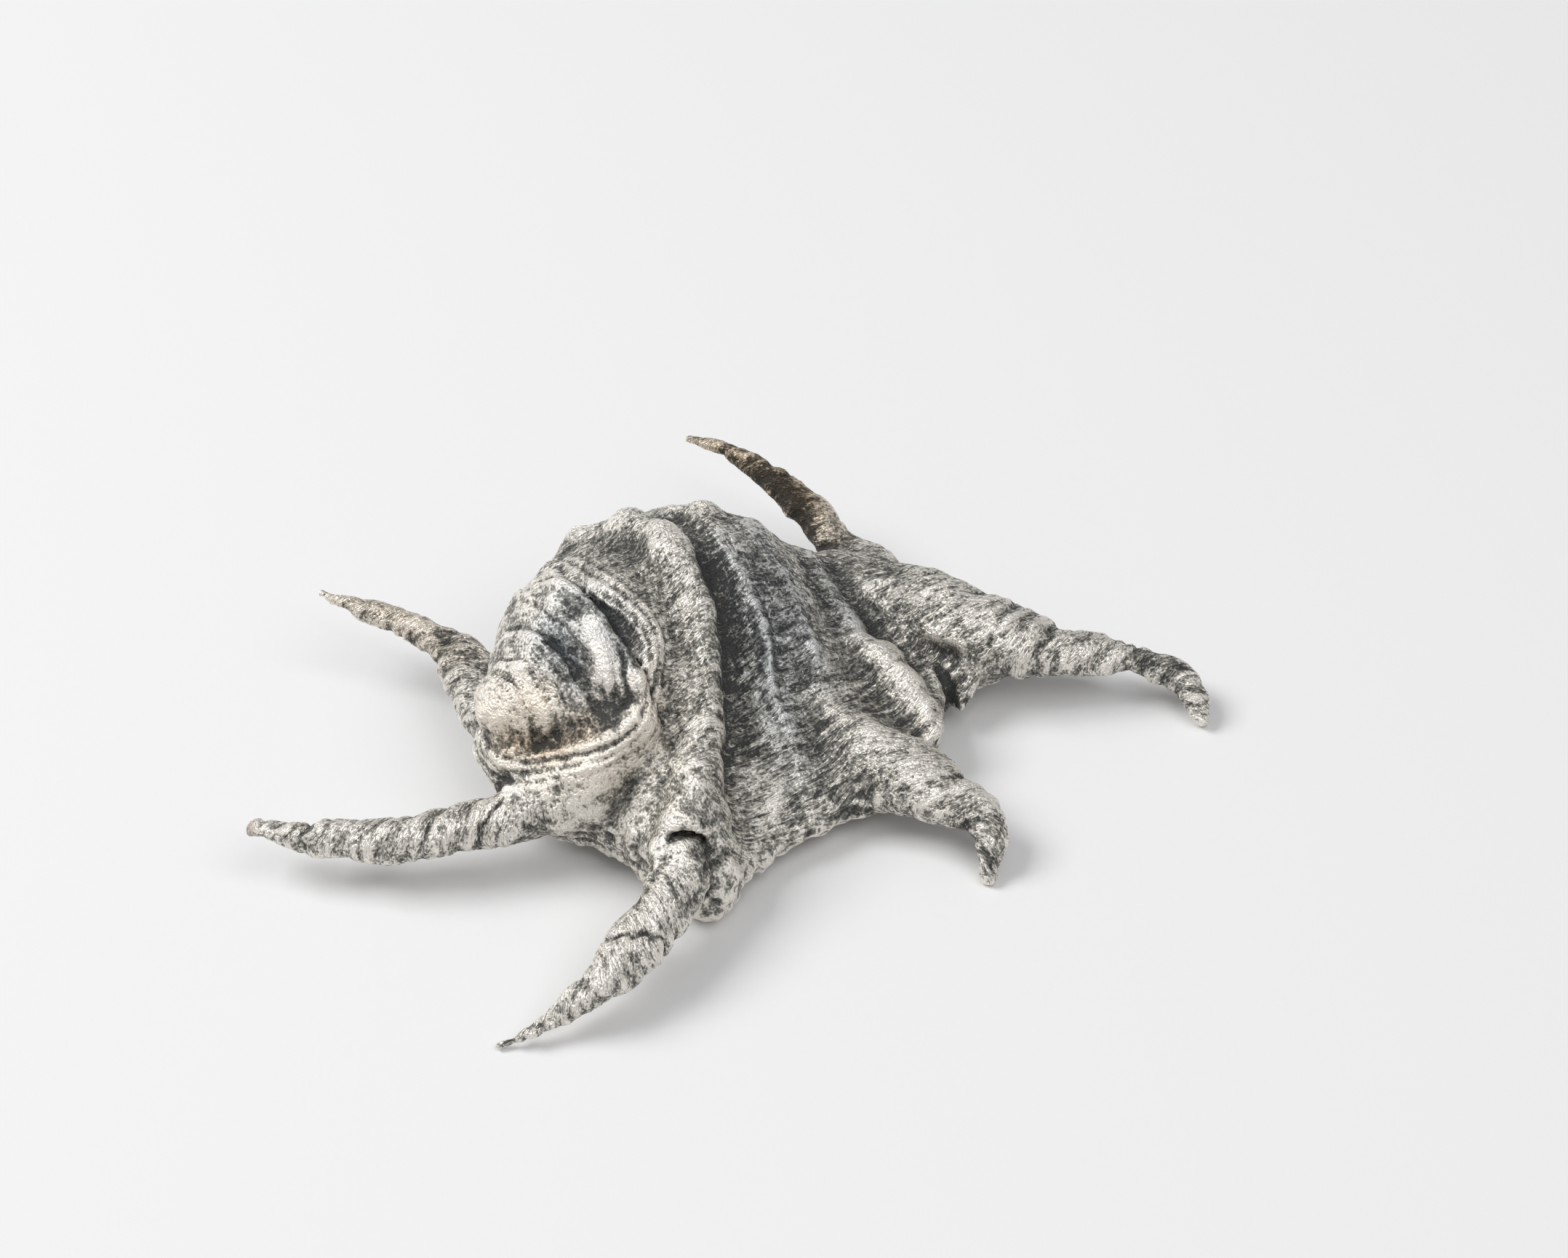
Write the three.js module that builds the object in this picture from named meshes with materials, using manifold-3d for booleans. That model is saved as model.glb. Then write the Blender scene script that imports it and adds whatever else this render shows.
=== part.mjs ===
// Spider conch shell of the chiragra kind: a short spire, a knobbed body whorl, a broad ribbed
// lip and six curved fingers, with a thin skin of silver bonded over the natural shell.
// Millimetres, +Z up. The shell lies on its aperture: +X runs from the spire towards the front
// finger, +Y is the side of the canal, -Y the side of the lip.
import * as THREE from 'three';
import { ParametricGeometry } from 'three/addons/geometries/ParametricGeometry.js';
import { mergeVertices } from 'three/addons/utils/BufferGeometryUtils.js';
import Module from 'manifold-3d';

const wasm = await Module();
wasm.setup();

// ---- body whorl and spire, turned about a leaning axis ----
const APEX = new THREE.Vector3(-61, -10, 34);
const CANAL_END = new THREE.Vector3(36, 64, 10);
// [distance from the apex, radius]: spire cone, knobbed shoulder, then the taper to the canal
const BODY_PROFILE = [
  [0, 2], [6, 7.5], [14, 15], [24, 24], [31, 28.5], [38, 31.5], [46, 33], [54, 34],
  [64, 35], [74, 32.5], [82, 28], [92, 19], [104, 11], [116, 8], [126, 7],
];
const VENTRAL_FLATTENING = 0.22;
const LIP_SIDE_FLATTENING = 0.25;
const SPIRE_END = 31;
const SPIRE_TOP_WHORL = 5;
const WHORL_GROWTH = 1.75;
const SUTURE_DEPTH = 1.6;
const SHOULDER = { at: 46, height: 1.5, width: 5 };
const KNOBS = { count: 9, height: 2.2 };

// ---- lip: a wedge from the back of the whorl down to the edge, one row per station ----
// [x, y, z] where it leaves the whorl, then [x, y, z] of the top of the edge
const LIP_STATIONS = [
  [-41, 5, 44, -48, -24, 20], [-34, 10, 52, -31, -31, 18], [-25, 17, 56, -15, -46, 16],
  [-17, 23, 55, 0, -40, 11], [-10, 29, 52, 17, -26, 11], [-2, 35, 47, 34, -15, 13],
  [6, 41, 39, 49, 4, 14], [15, 48, 29, 53, 19, 14], [25, 55, 20, 66, 30, 15],
];
const LIP_UNDERSIDE = 4;
const LIP_EDGE_ROUNDING = 2.5;
// low ribs of the lip: [place along the lip from 0 to 1, height]
const LIP_RIBS = [[0.42, 2], [0.52, 1.6], [0.76, 2], [0.86, 1.6]];
const LIP_RIB_WIDTH = 0.04;

// ---- high ribs of the back, each running down to a finger: [x, y, z, radius] ----
const RIBS = {
  suture: [[-34, 16, 49, 5], [-28, 2, 45, 6], [-28, -8, 36, 7], [-36, -19, 24, 8]],
  keel: [
    [-27, 26, 50, 6], [-18, 12, 51, 6.5], [-12, -4, 46, 6.5], [-10, -20, 35, 7],
    [-11, -34, 26, 8.5], [-13, -42, 22, 8.5],
  ],
  middle: [[2, 32, 45, 6], [8, 18, 40, 6], [20, 4, 29, 7], [34, -8, 20, 9]],
  posteriorPlate: [[-58, -8, 22, 6], [-51, -15, 19, 8], [-42, -16, 21, 9]],
};

// ---- fingers: [x, y, z, radius] from the root to the tip ----
const FINGERS = {
  posterior: [
    [-45, -13, 19, 9], [-57, -2, 17, 7.5], [-67, 19, 17, 7], [-74, 29, 17.5, 5.5],
    [-86, 37, 19, 4], [-98, 40, 22, 3], [-107, 42, 25, 0.7],
  ],
  left: [
    [-31, -13, 31, 8], [-38, -21, 22, 9], [-50, -26, 17, 6.5], [-61, -28, 15, 6],
    [-70, -30, 14, 5.5], [-80, -32, 13.5, 5.8], [-92, -32, 13.5, 5], [-105, -32, 14, 4.2],
    [-119, -30, 15, 2.6],
  ],
  near: [
    [-12, -26, 24, 9], [-14, -45, 17, 7.5], [-17, -55, 15, 6.8], [-22, -62, 13.5, 6.8],
    [-27, -69, 12, 6.2], [-33, -76, 10, 5], [-41, -80, 7, 3.3], [-48, -84, 4.5, 2.4],
    [-56, -86, 1, 1.1],
  ],
  right: [
    [22, 6, 24, 9], [34, -6, 20, 10], [44, -14, 15, 8.8], [51, -18, 13, 7.3], [58, -21, 11, 5.8],
    [61.5, -26, 8, 4.3], [61.5, -30, 5.5, 3.1], [61, -34, 1.8, 2.2],
  ],
  front: [
    [25, 53, 14, 9], [44, 43, 18, 11], [60, 35, 18, 10], [71, 33, 16.5, 8.3], [82, 31, 15, 6.6],
    [90, 31, 14, 5.2], [99, 31, 12, 4], [108, 30.5, 9.5, 3.5], [114, 28, 7, 3.4],
    [117.5, 23, 4, 2.6], [119, 18.5, 0.9, 1.2],
  ],
  canal: [
    [40, 54, 9, 9], [33, 62, 8.5, 8], [27, 69, 12, 6], [22, 73, 17, 5], [17, 77, 21, 4.6],
    [11, 82, 25, 4.3], [3, 87, 28.5, 3.4], [-6, 91, 31, 2.4], [-14, 93, 32, 1.2],
  ],
};

// ---- cuts: [x, y, z, half width, half height] along each hollow ----
const APERTURE = [
  [-50, -8, 3, 3, 4], [-38, -7, 4, 4.5, 14], [-15, 1, 4, 5.5, 20], [7, 20, 4, 5.5, 18],
  [25, 43, 3, 4.5, 10], [30, 60, 1, 2.5, 4.5],
];
const NOTCH = [[52, 28, 0, 4, 4], [53, 26, 6, 4, 4], [54, 23, 11, 3.5, 3.5], [55, 18, 15, 1.5, 1.5]];

// joins leave triangles thinner than this, which are drawn into their neighbours
const SLIVER = 0.05;

/** Value of a table of [place, value] rows at one place, straight between rows. */
function fromTable(table, place) {
  const last = table.findIndex(([at]) => at >= place);
  if (last === 0) return table[0][1];
  if (last < 0) return table[table.length - 1][1];
  const [[x0, y0], [x1, y1]] = [table[last - 1], table[last]];
  return y0 + ((y1 - y0) * (place - x0)) / (x1 - x0);
}

const bump = (distance, width) => Math.exp(-((distance / width) ** 2));

/** Closed solid from a grid of points; the rows draw in to one point at both ends. */
function solidOf(surface, rows, columns) {
  return toManifold(new ParametricGeometry((around, along, target) => {
    const row = THREE.MathUtils.clamp((along * (rows + 2) - 1) / rows, 0, 1);
    surface(row, around, along === 0 || along === 1 ? 0 : 1, target);
  }, columns, rows + 2));
}

/** The same geometry as a manifold solid, without the flat triangles left at the ends. */
function toManifold(source) {
  source.deleteAttribute('normal');
  source.deleteAttribute('uv');
  const geometry = mergeVertices(source, 1e-3);
  const corners = Array.from(geometry.index.array);
  const kept = [];
  for (let i = 0; i < corners.length; i += 3) {
    const [a, b, c] = corners.slice(i, i + 3);
    if (a !== b && b !== c && a !== c) kept.push(a, b, c);
  }
  return new wasm.Manifold(new wasm.Mesh({
    numProp: 3,
    vertProperties: new Float32Array(geometry.attributes.position.array),
    triVerts: new Uint32Array(kept),
  }));
}

/** Round or oval solid swept along rows of [x, y, z, half width, half height]. */
function swept(rows, columns, stepsPerRow = 1.6) {
  const path = new THREE.CatmullRomCurve3(rows.map(([x, y, z]) => new THREE.Vector3(x, y, z)));
  const size = new THREE.CatmullRomCurve3(
    rows.map(([, , , wide, high = wide]) => new THREE.Vector3(wide, high, 0)),
  );
  const up = new THREE.Vector3(0, 0, 1);
  return solidOf((along, around, open, target) => {
    const side = path.getTangent(along).cross(up).normalize();
    const rise = side.clone().cross(path.getTangent(along)).normalize();
    const { x: wide, y: high } = size.getPoint(along);
    const angle = -2 * Math.PI * around;
    target.copy(path.getPoint(along));
    target.addScaledVector(side, open * wide * Math.cos(angle));
    target.addScaledVector(rise, open * high * Math.sin(angle));
  }, Math.round((rows.length - 1) * stepsPerRow), columns);
}

/** Spire and body whorl: the profile turned about the axis, with suture, shoulder and knobs. */
function body() {
  const axis = CANAL_END.clone().sub(APEX);
  const length = axis.length();
  axis.normalize();
  const up = new THREE.Vector3(0, 0, 1).addScaledVector(axis, -axis.z).normalize();
  const side = axis.clone().cross(up);
  return solidOf((along, around, open, target) => {
    const place = length * along ** 0.9;
    const angle = 2 * Math.PI * around;
    const whorl = Math.log(Math.max(place, 2) / SPIRE_TOP_WHORL) / Math.log(WHORL_GROWTH);
    const suture = place < SPIRE_END ? SUTURE_DEPTH * Math.cos(Math.PI * whorl + angle / 2) ** 8 : 0;
    const shoulder = bump(place - SHOULDER.at, SHOULDER.width);
    const knobs = KNOBS.height * Math.cos((KNOBS.count * angle) / 2) ** 4;
    const below = Math.max(0, -Math.cos(angle));
    const lipSide = Math.max(0, Math.sin(angle)) * THREE.MathUtils.smoothstep(place, 20, 50);
    const flattening = 1 - VENTRAL_FLATTENING * below - LIP_SIDE_FLATTENING * lipSide;
    const radius = (fromTable(BODY_PROFILE, place) - suture) * flattening
      + shoulder * (SHOULDER.height + knobs) * (1 - below);
    target.copy(APEX).addScaledVector(axis, place);
    target.addScaledVector(up, open * radius * Math.cos(angle));
    target.addScaledVector(side, open * radius * Math.sin(angle));
  }, 40, 36);
}

/** Lip: for each place along it, a wedge from inside the whorl down to the rounded edge. */
function lip() {
  const leaves = new THREE.CatmullRomCurve3(
    LIP_STATIONS.map(([x, y, z]) => new THREE.Vector3(x, y, z)),
  );
  const reaches = new THREE.CatmullRomCurve3(
    LIP_STATIONS.map(([, , , x, y, z]) => new THREE.Vector3(x, y, z)),
  );
  return solidOf((along, around, open, target) => {
    const turn = 2 * Math.PI * around;
    const across = open ? 0.5 - 0.5 * Math.cos(turn) : 0.5;
    const fall = (across + THREE.MathUtils.smoothstep(across, 0, 1)) / 2;
    const ribs = LIP_RIBS.reduce((sum, [at, high]) => sum + high * bump(along - at, LIP_RIB_WIDTH), 0);
    const inner = leaves.getPoint(along);
    const edge = reaches.getPoint(along);
    const top = THREE.MathUtils.lerp(inner.z, edge.z, fall) + ribs * across;
    const rounding = open * THREE.MathUtils.clamp(LIP_EDGE_ROUNDING * Math.sin(turn), -1, 1);
    target.lerpVectors(inner, edge, across);
    target.z = (top + LIP_UNDERSIDE) / 2 + (rounding * (top - LIP_UNDERSIDE)) / 2;
  }, 32, 24);
}

/** Everything below the table is cut away, which leaves the small flats the shell rests on. */
function belowTable() {
  return toManifold(new THREE.BoxGeometry(400, 400, 60).translate(0, 0, -30));
}

function shellSolid() {
  const grown = [...Object.values(RIBS), ...Object.values(FINGERS)]
    .reduce((whole, rows) => whole.add(swept(rows, 12)), body().add(lip()));
  return [swept(APERTURE, 12), swept(NOTCH, 10), belowTable()]
    .reduce((whole, hollow) => whole.subtract(hollow), grown)
    .simplify(SLIVER);
}

function toGeometry(solid) {
  const { vertProperties, triVerts } = solid.getMesh();
  const geometry = new THREE.BufferGeometry();
  geometry.setAttribute('position', new THREE.BufferAttribute(vertProperties, 3));
  geometry.setIndex(new THREE.BufferAttribute(triVerts, 1));
  const box = new THREE.Box3().setFromBufferAttribute(geometry.attributes.position);
  const middle = box.getCenter(new THREE.Vector3());
  geometry.translate(-middle.x, -middle.y, -box.min.z);
  geometry.computeVertexNormals();
  return geometry;
}

const shell = new THREE.Mesh(
  toGeometry(shellSolid()),
  new THREE.MeshStandardMaterial({ color: 0xb9b6ac, roughness: 0.4, metalness: 0.9 }),
);
shell.name = 'shell';

const spiderConch = new THREE.Group();
spiderConch.name = 'spider_conch';
spiderConch.add(shell);

export default spiderConch;
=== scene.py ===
"""Spider conch shell in aged silver: the looks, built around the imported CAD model.

The shell is sculpted as one distance field in millimetres: a turned body whorl, a wedge-shaped lip
and six tapering fingers, blended together, then worked over with ridges, grooves, knobs and cuts. The
field is meshed once, and each vertex carries where it lies along and across the shell's growth, so that
wrinkles, pits and tarnish follow the shell.
"""
import math

import bpy
import numpy as np
from bpy.props import FloatProperty, FloatVectorProperty, PointerProperty
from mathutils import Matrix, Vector


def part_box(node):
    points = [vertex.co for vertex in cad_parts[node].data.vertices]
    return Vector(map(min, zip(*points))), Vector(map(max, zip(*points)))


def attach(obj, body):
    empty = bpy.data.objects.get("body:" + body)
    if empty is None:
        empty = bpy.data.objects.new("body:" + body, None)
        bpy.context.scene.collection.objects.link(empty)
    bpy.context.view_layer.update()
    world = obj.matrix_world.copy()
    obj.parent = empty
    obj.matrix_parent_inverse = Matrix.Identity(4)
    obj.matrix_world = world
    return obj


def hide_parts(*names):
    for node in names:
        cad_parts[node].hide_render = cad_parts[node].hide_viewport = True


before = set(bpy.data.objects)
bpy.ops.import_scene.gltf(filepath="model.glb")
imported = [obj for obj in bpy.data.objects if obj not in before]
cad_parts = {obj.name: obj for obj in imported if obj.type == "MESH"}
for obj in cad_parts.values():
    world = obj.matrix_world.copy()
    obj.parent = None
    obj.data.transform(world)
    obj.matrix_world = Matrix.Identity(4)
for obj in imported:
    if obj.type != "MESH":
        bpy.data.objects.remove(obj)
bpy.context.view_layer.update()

bl_info = {
    "name": "Spider Conch Shell",
    "version": (1, 0, 0),
    "blender": (4, 5, 0),
    "location": "View3D > Sidebar > Shell",
    "description": "Grows a silver-skinned spider conch shell and sets the stage for it",
    "category": "Add Mesh",
}

MM = 0.001

# ---- The shell's form, in millimetres: the same driving points as the CAD solid ----
# the field's own origin, seen from the frame's origin under the middle of the shell
FIELD_ORIGIN = np.array([-0.4, -3.5, 0.0])

APEX = np.array([-61.0, -10.0, 34.0])
CANAL_END = np.array([36.0, 64.0, 10.0])
AXIS = (CANAL_END - APEX) / np.linalg.norm(CANAL_END - APEX)
AXIS_UP = np.array([0.0, 0.0, 1.0]) - AXIS * AXIS[2]
AXIS_UP = AXIS_UP / np.linalg.norm(AXIS_UP)
AXIS_SIDE = np.cross(AXIS, AXIS_UP)

# distance from the apex, radius
BODY_PROFILE = np.array([
    (-5, -4), (-1.5, 3), (0, 5.5), (3, 8.5), (8, 12), (14, 18.5), (20, 24), (26, 28), (32, 30),
    (38, 31.5), (46, 33), (54, 34), (64, 35), (74, 32.5), (82, 28), (92, 19), (104, 11), (116, 8),
    (126, 7), (134, -3),
])
VENTRAL_FLATTENING = 0.22
LIP_SIDE_FLATTENING = 0.25
BODY_SLOPE = 0.8

# the spire's coil: where its last suture crosses the top, and the growth of one whorl
LAST_SUTURE = 27.0
WHORL_GROWTH = 1.78
# the ring of knobs on each whorl: how many, how high as a share of the radius, and where it lies
WHORL_KNOBS = 10
WHORL_KNOB_HEIGHT = 0.035
WHORL_KNOB_PLACE = 0.78
WHORL_KNOB_WIDTH = 0.16
# section of one whorl, from suture to suture: place, share of the profile's radius
WHORL_SECTION = np.array([
    (0, 0.88), (0.06, 0.95), (0.2, 1.0), (0.5, 1.03), (0.8, 1.05), (0.93, 0.99), (1, 0.88),
])

# lip: x, y, z where it leaves the whorl, then x, y, z of the top of its edge
LIP_STATIONS = np.array([
    (-41, 5, 44, -48, -24, 20), (-34, 10, 52, -31, -31, 18), (-25, 17, 56, -15, -46, 16),
    (-17, 23, 55, 0, -40, 11), (-10, 29, 52, 17, -26, 11), (-2, 35, 47, 34, -15, 13),
    (6, 41, 39, 49, 4, 14), (15, 48, 29, 53, 19, 14), (25, 55, 20, 66, 30, 15),
], float)
LIP_UNDERSIDE = 4.0

# fingers: x, y, z, radius from the root to the tip
FINGERS = {
    "posterior": [
        (-45, -13, 19, 9), (-57, -2, 17, 7.5), (-67, 19, 17, 7), (-74, 29, 17.5, 5.5),
        (-86, 37, 19, 4), (-98, 40, 22, 3), (-107, 42, 25, 0.7),
    ],
    "left": [
        (-31, -13, 31, 8), (-38, -21, 22, 9), (-50, -26, 17, 6.5), (-61, -28, 15, 6),
        (-70, -30, 14, 5.5), (-80, -32, 13.5, 5.8), (-92, -32, 13.5, 5), (-105, -32, 14, 4.2),
        (-118, -30, 15, 2.7),
    ],
    "near": [
        (-12, -30, 17, 6.2), (-14, -45, 17, 7.2), (-17, -55, 15, 6.8), (-22, -62, 13.5, 6.8),
        (-27, -69, 12, 6.2), (-33, -76, 10, 5), (-41, -80, 7, 3.3), (-48, -84, 4.5, 2.4),
        (-56, -86, 1.4, 1.1),
    ],
    "right": [
        (28, 2, 12, 7), (36, -7, 15, 8.5), (44, -14, 15, 8.8), (51, -18, 13, 7.3),
        (58, -21, 11, 6.2), (61.5, -26, 8, 5), (61.5, -30, 5.5, 4.2), (61.2, -33.5, 3.2, 3.4),
    ],
    "front": [
        (25, 53, 14, 9), (44, 43, 18, 11), (60, 35, 18, 10), (71, 33, 16.5, 8.3), (82, 31, 15, 6.6),
        (90, 31, 14, 5.6), (99, 31, 12, 4.8), (108, 30.5, 9.5, 4.5), (113.5, 28, 7.5, 4.3),
        (116.5, 23.5, 5, 3.8), (117.8, 19.5, 3.2, 3),
    ],
    "canal": [
        (40, 54, 9, 9), (33, 62, 8.5, 8), (27, 69, 12, 6), (22, 73, 17, 5), (17, 77, 21, 4.6),
        (11, 82, 25, 4.3), (3, 87, 28.5, 3.4), (-6, 91, 31, 2.4), (-14, 93, 32, 1.2),
    ],
}
# how softly each finger runs into the shell; the near one comes out of a gap instead
FINGER_BLENDS = {"posterior": 4, "left": 6, "right": 10, "front": 8, "canal": 4}

# thickened parts under the ridges: x, y, z, radius
SPIRE_LEDGE = [
    (-24, -16, 38, 3.4), (-30, -19, 33, 4.4), (-38, -20.5, 28.5, 5.2), (-47, -18.5, 25, 4.8),
    (-56, -14, 26, 4.4),
]
POSTERIOR_PLATE = [(-60, -8, 21, 6), (-53, -15, 19, 7), (-44, -17, 20, 8)]
KEEL_CORE = [
    (-12, -2, 36, 5), (-10, -14, 29, 6), (-10, -24, 26, 6.6), (-11.5, -34, 22.5, 7),
    (-13.5, -41, 20, 7),
]

NEAR_LOBE = [(-9, -31, 19, 7), (-7, -38, 15, 6.5), (-6.5, -42.5, 9, 6), (-6.5, -44, 5, 5)]
LIP_LOBE = [(36, 22, 20, 5), (42, 13, 16.5, 4.6), (46.5, 6, 13.5, 3.6)]
NOTCH_FLAP = [(59, 27, 14, 3.6), (57, 22, 11, 2.5), (55.3, 18.5, 8.5, 1.8)]
NOTCH = [(50.5, 25, 15, 1.4), (52.6, 20.5, 11.5, 2.1), (53.2, 16, 7, 2.4), (53.2, 11, 1, 3)]

# the hood over the near finger's root: where it is, how far out its rim is, and the dark gap under it
HOOD_MIDDLE = -12.0
HOOD_HALF_WIDTH = 5.0
HOOD_RIM = 41.0
HOOD_FOOT = 19.5
HOOD_HEIGHT = 7.0
HOOD_GAP = 2.4

# ridges and grooves worked into the back: x, y, z, width, height (grooves are below zero)
STROKES = {
    "keel": [
        (-44, 41, 38, 5, 3), (-40, 41, 45, 5, 3.5), (-33, 38, 51, 5, 3.8), (-27, 35, 55, 4.5, 4.5),
        (-19, 27, 59, 4.5, 5.2), (-14, 20, 57, 4.5, 6), (-10, 14, 53, 4.5, 6.2), (-9, 7, 48, 4.5, 6.6),
        (-7, 2, 43, 4.5, 5.8), (-7, -4, 38, 4.5, 5.2), (-8, -12, 33, 4.5, 4.8),
        (-10, -22, 31, 4.5, 3.6), (-11, -31, 30, 4.5, 2.2), (-13, -37, 28, 4.5, 1.4),
    ],
    "valley": [
        (-13, 38, 56, 4, -1.6), (-9, 28, 58, 5, -3.2), (-6, 19, 54, 5.5, -4.5),
        (-3, 12, 48, 6, -5), (-1, 2, 39, 6, -4.5), (0, -8, 30, 6, -4), (0, -16, 27, 5, -3),
        (-2, -27, 22, 4, -1.2), (-3, -36, 16, 3.5, -0.5),
    ],
    "second": [
        (-9, 42, 54, 4, 0.8), (-3, 27, 55, 4, 0.4), (3, 18, 48, 4, 0.3), (7, 11, 39, 4, 0.4),
        (8, 2, 31, 4, 0.6), (11, -3, 25, 4, 0.8), (13, -9, 20, 4, 0.9), (17, -24, 11, 4, 1),
    ],
    "second_crest": [
        (-3, 27, 55, 1.3, 0.5), (3, 18, 48, 1.3, 0.8), (7, 11, 39, 1.3, 0.9), (8, 2, 31, 1.3, 1),
        (11, -3, 25, 1.3, 1), (13, -9, 20, 1.3, 0.9), (16, -19, 14, 1.3, 0.7),
    ],
    "second_beside": [
        (-4, 24, 54, 1.8, 0.4), (-1, 14, 48, 1.8, 0.5), (2, 5, 37, 1.8, 0.6), (5, -2, 29, 1.8, 0.7),
        (9, -9, 22, 1.8, 0.7), (10, -18, 17, 1.8, 0.7), (8, -30, 13, 1.8, 0.6),
    ],
    "third": [
        (4, 42, 50, 4, 0.8), (9, 32, 48, 4, 0.7), (13, 25, 41, 4, 1), (18, 16, 34, 4, 1.4),
        (23, 5, 31, 4.5, 1.8), (30, -6, 28, 6, 2),
    ],
    "third_crest": [
        (9, 32, 48, 1.3, 0.6), (13, 25, 41, 1.3, 0.8), (18, 16, 34, 1.3, 0.9), (23, 5, 31, 1.5, 0.8),
    ],
    "third_hollow": [
        (14, 10, 33, 4, -0.2), (17, 3, 27, 4, -0.8), (20, -8, 20, 4, -1.2),
    ],
    "fourth": [
        (19, 50, 31, 4, 1), (21, 43, 32, 3.5, 1.3), (27, 33, 27, 3.5, 1.7), (33, 22, 24, 3.5, 2),
        (41, 15, 20, 4, 2), (47, 9, 16, 4, 1.6),
    ],
    "fourth_hollow": [
        (17, 44, 36, 3.5, -0.8), (20, 34, 33, 3.5, -1), (26, 22, 28, 3.5, -1.3),
        (33, 10, 24, 4, -1.8), (42, 1, 19, 4, -2.2), (47, -3, 15, 3.5, -1.8),
    ],
    "fan_a": [
        (20, 52, 32, 1.6, 0.4), (25, 44, 30, 1.6, 0.7), (32, 33, 26, 1.6, 0.7), (41, 22, 20, 1.6, 0.7),
        (49, 13, 15, 1.6, 0.5),
    ],
    "fan_b": [
        (24, 53, 30, 1.6, 0.4), (30, 45, 28, 1.6, 0.6), (38, 35, 24, 1.6, 0.6), (48, 24, 18, 1.6, 0.6),
        (54, 18, 15, 1.6, 0.4),
    ],
    "fifth_hollow": [
        (25, 44, 29, 3, -0.6), (33, 35, 25, 3.5, -1), (42, 30, 21, 3.5, -1.6), (53, 26, 17, 3, -2),
    ],
    "ledge": [
        (-44, 22, 49, 4, 1.2), (-38, 15, 55, 4, 1.4), (-33, 11, 57, 4, 1.4), (-25, 6, 56, 4, 1.6),
        (-20, 0, 52, 4, 1.8), (-20, -10, 49, 4, 1.6), (-22, -17, 45, 4, 1), (-27, -21, 41, 4, 0.4),
        (-36, -24, 36, 4, 0.2),
    ],
    "suture": [
        (-46, 21, 50, 1.4, -1), (-41, 14, 53, 1.4, -1.2), (-36, 8, 55, 1.4, -1.3),
        (-29, 2, 54, 1.4, -1.3), (-25, -4, 52, 1.3, -1.2), (-24, -11, 49, 1.3, -0.9),
        (-25, -16, 46, 1.3, -0.6), (-28, -19, 42, 1.3, -0.4), (-36, -20, 37, 1.3, -0.3),
        (-46, -18, 32, 1.3, -0.3), (-53, -16, 29, 1.4, -0.4), (-58, -12, 29, 1.4, -0.4),
    ],
    "ledge_band": [
        (-54, -17, 29, 1.5, 0.4), (-44, -21, 33, 1.5, 0.6), (-35, -21.5, 37, 1.5, 0.6),
        (-28, -20, 40, 1.5, 0.5), (-24, -16, 45, 1.5, 0.5), (-23, -8, 50, 1.5, 0.4),
    ],
    "ledge_groove": [
        (-55, -21, 27, 1.3, -0.6), (-45, -23, 32, 1.3, -0.7), (-34, -23.5, 36, 1.3, -0.7),
        (-25, -21, 40, 1.3, -0.6), (-21.5, -14, 44, 1.3, -0.5), (-21, -5, 51, 1.3, -0.5),
        (-22, 2, 56, 1.3, -0.5), (-29, 9, 59, 1.3, -0.5),
    ],
    "ramp_crest": [
        (-58, -24, 23, 2, 0.5), (-47, -26.5, 28, 2, 0.5), (-32, -26.5, 33, 2.2, 0.4),
        (-23, -21, 39, 2.2, 0.4), (-19, -12, 43, 2.2, 0.4),
    ],
    "whorl_ridge": [
        (-38, 3, 57, 3.2, 0.5), (-37, 0, 56, 3.4, 1.6), (-34, -5, 53, 3.6, 2.3), (-33, -11, 49, 3.6, 1.8),
        (-33, -15, 45, 3.4, 0.8),
    ],
    "whorl_dip": [(-33, 4, 58, 3, -0.6), (-28, -1, 56, 3.2, -1.1), (-26, -8, 51, 3, -0.8)],
    "whorl_fold": [(-43, -2, 52, 3, -0.6), (-39, -8, 50, 3, -1), (-36, -14, 45, 3, -1)],
    "inner_suture": [
        (-52, 6, 46, 1.2, -0.6), (-46, 1, 49, 1.2, -1.1), (-41, -5, 48, 1.2, -1.3),
        (-37, -11, 45, 1.2, -1.3), (-37, -17, 40, 1.2, -1),
    ],
    "ramp_hollow": [
        (-28, 26, 58, 5, -1.4), (-20, 12, 57, 5, -1.6), (-15, 3, 52, 5, -1.6), (-14, -8, 45, 5, -1.4),
        (-15, -20, 37, 5, -1.2),
    ],
}
# knobs, and dips where the height is below zero: x, y, z, width, height
KNOBS = [
    (-41.5, 42, 46, 3.5, 3.2), (-46.5, 31, 44, 2.8, 3), (-34, 38, 53, 3.5, -1.6),
    (-27, 37.5, 56, 4, 3.4), (-21, 36, 57, 3, -1.8), (-16, 41, 54, 3, -1.4), (-9, 44, 53, 4.5, 3),
    (4, 44, 49, 4, 1), (9.5, 51, 43, 3.5, 2.4), (-9, 10, 51, 4, 3.8), (-14, -4, 43, 3, 1.2),
    (-20, 28, 60, 4, 1),
    (-52, -3, 46, 3.4, 1.8), (-46, -14, 39, 4, 1.2), (-44, 12, 55, 4, 1.8),
    (-8, -5, 37, 4, 1.2), (-13, 24, 58, 3.5, 1.4), (-3, -47, 10, 3, 1.6), (-6, -51, 6, 2.6, 1.4),
    (-5, -42, 16, 3, 1.2), (31, 66, 16, 3, 1.5), (38, 61, 20, 3, 1.6),
]

# hollows cut out: x, y, z, half width, half height
APERTURE = [
    (-50, -8, 3, 3, 4), (-38, -7, 4, 4.5, 14), (-15, 1, 4, 5.5, 20), (7, 20, 4, 5.5, 18),
    (25, 43, 3, 4.5, 10), (30, 60, 1, 2.5, 4.5),
]


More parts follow.
